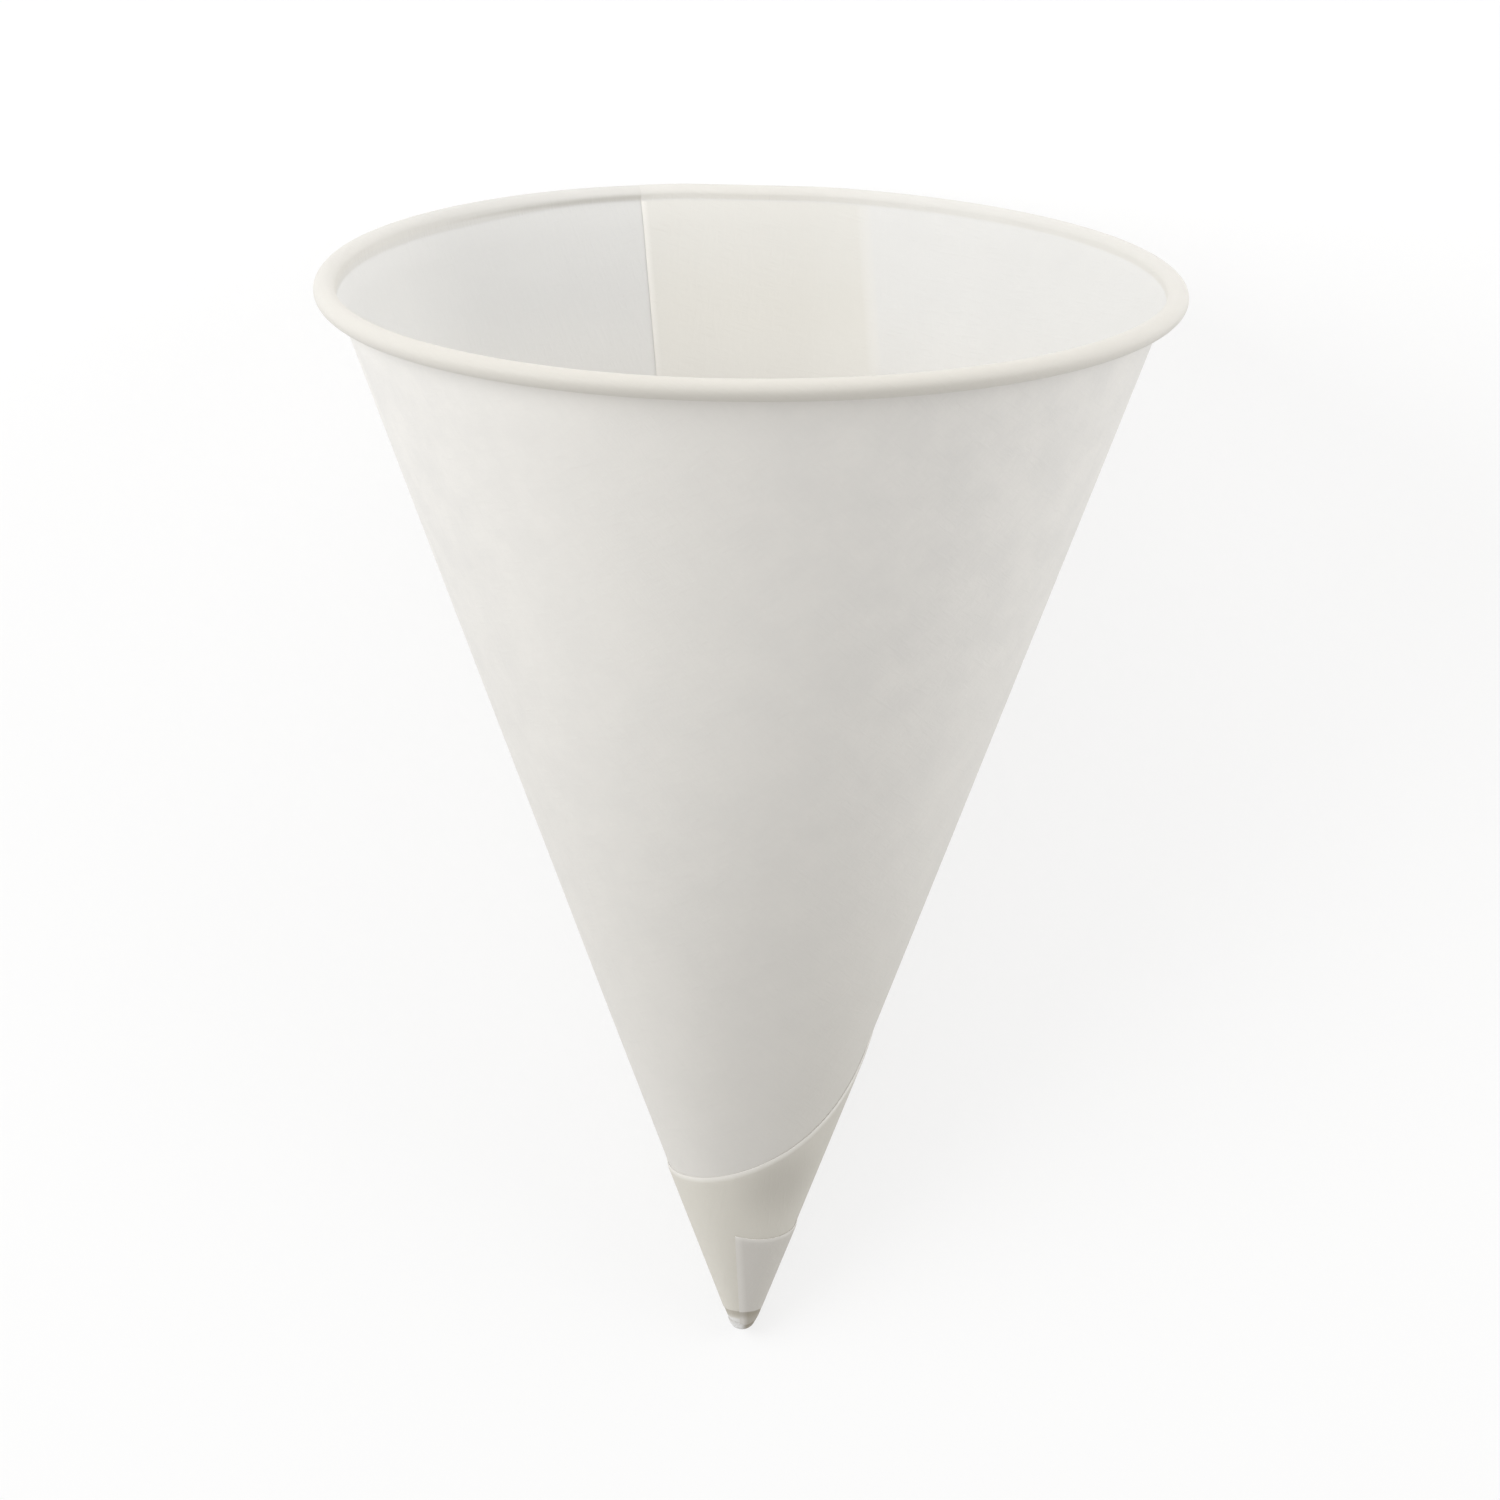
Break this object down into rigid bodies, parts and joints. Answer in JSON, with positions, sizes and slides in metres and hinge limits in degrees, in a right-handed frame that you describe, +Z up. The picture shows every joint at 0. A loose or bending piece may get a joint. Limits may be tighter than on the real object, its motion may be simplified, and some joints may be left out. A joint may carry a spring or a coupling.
{
  "type": "cone paper cup",
  "caption": "Pointed paper drinking cup, rolled from one sheet into a cone with an overlapping seam, a rolled rim and a pressed, rounded tip.",
  "frame": {"origin": "centre of the bounding box on the surface that the cup lies on", "axes": "+Y level, towards the mouth; +Z up; the cup lies on its rim and tip with its pressed lap underneath"},
  "size_m": [0.0728, 0.0986, 0.0677],
  "materials": {
    "paper": "smooth off-white paper with a faint wax sheen"
  },
  "bodies": {
    "root": {"cup": "paper"}
  },
  "joints": []
}
